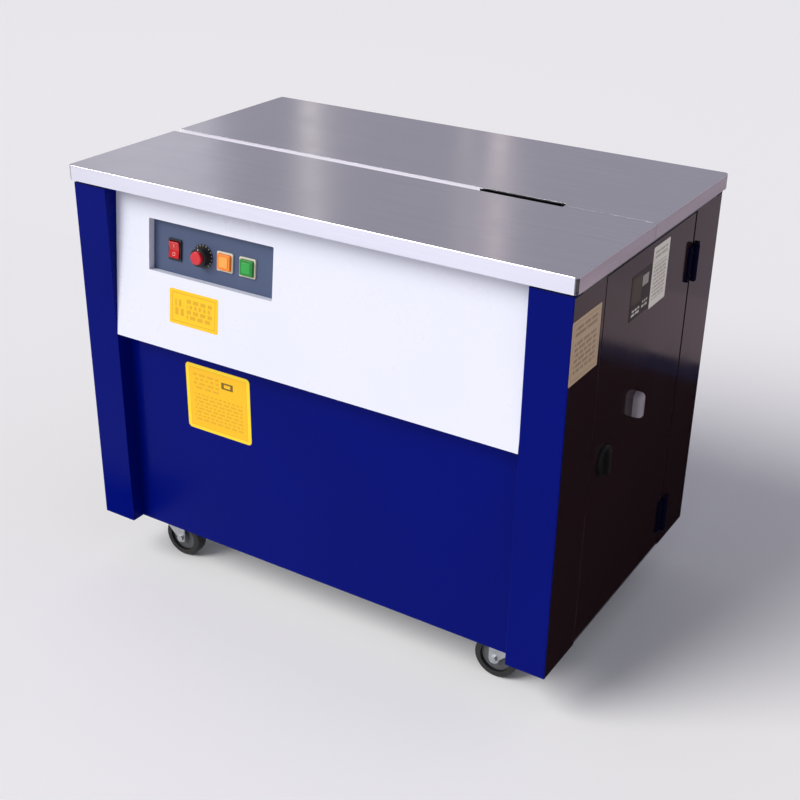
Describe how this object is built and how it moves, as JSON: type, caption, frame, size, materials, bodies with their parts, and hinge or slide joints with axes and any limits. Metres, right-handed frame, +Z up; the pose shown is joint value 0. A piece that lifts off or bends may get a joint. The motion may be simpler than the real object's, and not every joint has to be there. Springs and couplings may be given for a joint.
{
  "type": "semi-automatic strapping machine",
  "caption": "High-table semi-automatic strapping machine: hinged stainless table with strap groove, control recess, side doors, sealing head, strap reel and swivel casters.",
  "frame": {"origin": "on the floor under the middle of the table", "axes": "+X to the operator's right along the strap groove, -Y towards the operator, +Z up"},
  "size_m": [0.913, 0.57, 0.735],
  "materials": {
    "stainless": "brushed",
    "blue_paint": "gloss",
    "white_paint": "gloss",
    "black_paint": "gloss",
    "pocket_paint": "satin",
    "slate_paint": "satin",
    "frame_plastic": "satin",
    "rocker_plastic": "gloss",
    "knob_plastic": "matte",
    "cap_plastic": "gloss",
    "orange_lens": "gloss",
    "green_lens": "gloss",
    "hinge_paint": "gloss",
    "pull_plastic": "satin",
    "latch_plastic": "satin",
    "zinc_sheet": "satin",
    "frame_paint": "satin",
    "zinc_parts": "satin",
    "machined_steel": "satin",
    "motor_casting": "satin",
    "gearbox_casting": "satin",
    "belt_rubber": "matte",
    "box_paint": "satin",
    "gland_plastic": "matte",
    "reel_plastic": "satin",
    "pulley_aluminium": "satin",
    "tool_steel": "satin",
    "black_oxide": "satin",
    "heater_steel": "satin",
    "roller_steel": "knurled",
    "roller_rubber": "matte",
    "wheel_rubber": "satin"
  },
  "bodies": {
    "cabinet": {"base_plate": "zinc_sheet", "inner_frame": "frame_paint", "front_posts": "blue_paint", "rear_posts": "blue_paint", "right_side_strips": "black_paint", "left_side_strips": "black_paint", "top_frame": "frame_paint", "front_panel": "blue_paint", "control_fascia": "white_paint", "control_pocket": "pocket_paint", "control_plate": "slate_paint", "switch_frames": "frame_plastic", "rear_panel": "blue_paint", "cable_gland": "gland_plastic", "strap_guide": "stainless", "table_hinge_arms": "zinc_parts", "door_hinge_leaves": "hinge_paint", "caster_plates": "zinc_parts", "head_frame": "machined_steel", "motor_mount": "frame_paint", "drive_motor": "motor_casting", "gearbox": "gearbox_casting", "drive_belt": "belt_rubber", "reel_stand": "frame_paint", "control_box": "box_paint"},
    "front_table": {"front_table": "stainless"},
    "rear_table": {"rear_table": "stainless"},
    "right_door": {"right_door": "black_paint", "right_door_hinges": "hinge_paint", "right_door_pull": "pull_plastic"},
    "left_door": {"left_door": "black_paint", "left_door_hinges": "hinge_paint", "left_door_pull": "pull_plastic"},
    "right_latch": {"right_door_latch": "latch_plastic"},
    "left_latch": {"left_door_latch": "latch_plastic"},
    "power_rocker": {"power_rocker": "rocker_plastic"},
    "timer_knob": {"timer_knob": "knob_plastic", "timer_cap": "cap_plastic"},
    "reset_button": {"reset_button": "orange_lens"},
    "feed_button": {"feed_button": "green_lens"},
    "reel": {"reel_core": "reel_plastic", "reel_flanges": "reel_plastic"},
    "motor_pulley": {"motor_pulley": "pulley_aluminium"},
    "gearbox_pulley": {"gearbox_pulley": "pulley_aluminium"},
    "cam_shaft": {"cam_shaft": "tool_steel"},
    "left_gripper": {"left_gripper": "tool_steel"},
    "cutter_press": {"cutter_press": "tool_steel"},
    "right_gripper": {"right_gripper": "tool_steel"},
    "anvil": {"anvil_plate": "black_oxide"},
    "heater": {"heater": "heater_steel"},
    "feed_roller": {"feed_roller": "roller_steel"},
    "pinch_roller": {"pinch_roller": "roller_rubber"},
    "front_left_fork": {"front_left_caster_fork": "zinc_parts"},
    "front_left_wheel": {"front_left_caster_wheel": "wheel_rubber"},
    "rear_left_fork": {"rear_left_caster_fork": "zinc_parts"},
    "rear_left_wheel": {"rear_left_caster_wheel": "wheel_rubber"},
    "front_right_fork": {"front_right_caster_fork": "zinc_parts"},
    "front_right_wheel": {"front_right_caster_wheel": "wheel_rubber"},
    "rear_right_fork": {"rear_right_caster_fork": "zinc_parts"},
    "rear_right_wheel": {"rear_right_caster_wheel": "wheel_rubber"}
  },
  "joints": [
    {"name": "front_table_hinge", "type": "hinge", "parent": "cabinet", "child": "front_table", "pos_m": [0, -0.277, 0.718], "axis": [1, 0, 0], "range_deg": [0, 95]},
    {"name": "rear_table_hinge", "type": "hinge", "parent": "cabinet", "child": "rear_table", "pos_m": [0, 0.277, 0.718], "axis": [-1, 0, 0], "range_deg": [0, 95]},
    {"name": "right_door_hinge", "type": "hinge", "parent": "cabinet", "child": "right_door", "pos_m": [0.4485, 0.1655, 0.4], "axis": [0, 0, 1], "range_deg": [0, 110]},
    {"name": "left_door_hinge", "type": "hinge", "parent": "cabinet", "child": "left_door", "pos_m": [-0.4485, 0.1655, 0.4], "axis": [0, 0, -1], "range_deg": [0, 110]},
    {"name": "right_latch_turn", "type": "hinge", "parent": "right_door", "child": "right_latch", "pos_m": [0.4425, -0.13, 0.397], "axis": [1, 0, 0], "range_deg": [0, 90]},
    {"name": "left_latch_turn", "type": "hinge", "parent": "left_door", "child": "left_latch", "pos_m": [-0.4425, -0.13, 0.397], "axis": [1, 0, 0], "range_deg": [0, 90]},
    {"name": "power_rocker_tilt", "type": "hinge", "parent": "cabinet", "child": "power_rocker", "pos_m": [-0.26, -0.24548, 0.61893], "axis": [1, 0, 0], "range_deg": [-8, 8]},
    {"name": "timer_knob_turn", "type": "hinge", "parent": "cabinet", "child": "timer_knob", "pos_m": [-0.204, -0.25145, 0.61953], "axis": [0, -0.995, 0.0997], "range_deg": [-140, 140]},
    {"name": "reset_press", "type": "slide", "parent": "cabinet", "child": "reset_button", "axis": [0, 0.995, -0.0997], "range_m": [0, 0.003], "stiffness_N_per_m": 300, "springref_m": -0.003},
    {"name": "feed_press", "type": "slide", "parent": "cabinet", "child": "feed_button", "axis": [0, 0.995, -0.0997], "range_m": [0, 0.003], "stiffness_N_per_m": 300, "springref_m": -0.003},
    {"name": "front_left_swivel", "type": "hinge", "parent": "cabinet", "child": "front_left_fork", "pos_m": [-0.352, -0.2, 0.085], "axis": [0, 0, 1], "continuous": true},
    {"name": "front_left_roll", "type": "hinge", "parent": "front_left_fork", "child": "front_left_wheel", "pos_m": [-0.325, -0.2, 0.0375], "axis": [0, 1, 0], "continuous": true},
    {"name": "rear_left_swivel", "type": "hinge", "parent": "cabinet", "child": "rear_left_fork", "pos_m": [-0.352, 0.2, 0.085], "axis": [0, 0, 1], "continuous": true},
    {"name": "rear_left_roll", "type": "hinge", "parent": "rear_left_fork", "child": "rear_left_wheel", "pos_m": [-0.325, 0.2, 0.0375], "axis": [0, 1, 0], "continuous": true},
    {"name": "front_right_swivel", "type": "hinge", "parent": "cabinet", "child": "front_right_fork", "pos_m": [0.352, -0.2, 0.085], "axis": [0, 0, 1], "continuous": true},
    {"name": "front_right_roll", "type": "hinge", "parent": "front_right_fork", "child": "front_right_wheel", "pos_m": [0.325, -0.2, 0.0375], "axis": [0, 1, 0], "continuous": true},
    {"name": "rear_right_swivel", "type": "hinge", "parent": "cabinet", "child": "rear_right_fork", "pos_m": [0.352, 0.2, 0.085], "axis": [0, 0, 1], "continuous": true},
    {"name": "rear_right_roll", "type": "hinge", "parent": "rear_right_fork", "child": "rear_right_wheel", "pos_m": [0.325, 0.2, 0.0375], "axis": [0, 1, 0], "continuous": true},
    {"name": "reel_spin", "type": "hinge", "parent": "cabinet", "child": "reel", "pos_m": [0.19, -0.022, 0.345], "axis": [0, 1, 0], "continuous": true},
    {"name": "gearbox_input", "type": "hinge", "parent": "cabinet", "child": "gearbox_pulley", "pos_m": [0.126, -0.022, 0.632], "axis": [1, 0, 0], "continuous": true},
    {"name": "motor_spin", "type": "hinge", "parent": "cabinet", "child": "motor_pulley", "pos_m": [0.126, 0.08, 0.63999], "axis": [1, 0, 0], "continuous": true},
    {"name": "cam_turn", "type": "hinge", "parent": "cabinet", "child": "cam_shaft", "pos_m": [0.23, -0.022, 0.632], "axis": [1, 0, 0], "continuous": true},
    {"name": "left_gripper_lift", "type": "slide", "parent": "cabinet", "child": "left_gripper", "axis": [0, 0, 1], "range_m": [0, 0.006]},
    {"name": "cutter_press_lift", "type": "slide", "parent": "cabinet", "child": "cutter_press", "axis": [0, 0, 1], "range_m": [0, 0.006]},
    {"name": "right_gripper_lift", "type": "slide", "parent": "cabinet", "child": "right_gripper", "axis": [0, 0, 1], "range_m": [0, 0.006]},
    {"name": "anvil_shift", "type": "slide", "parent": "cabinet", "child": "anvil", "axis": [0, 1, 0], "range_m": [0, 0.022]},
    {"name": "heater_shift", "type": "slide", "parent": "cabinet", "child": "heater", "axis": [0, -1, 0], "range_m": [0, 0.026]},
    {"name": "feed_roller_spin", "type": "hinge", "parent": "cabinet", "child": "feed_roller", "pos_m": [0.345, -0.022, 0.6402], "axis": [0, 1, 0], "continuous": true},
    {"name": "pinch_roller_spin", "type": "hinge", "parent": "cabinet", "child": "pinch_roller", "pos_m": [0.345, -0.022, 0.686], "axis": [0, 1, 0], "continuous": true}
  ],
  "couplings": [
    {"joint": "motor_spin", "follows": "gearbox_input", "ratio": 2.2658},
    {"joint": "cam_turn", "follows": "gearbox_input", "ratio": 0.05},
    {"joint": "pinch_roller_spin", "follows": "feed_roller_spin", "ratio": -1.25}
  ]
}
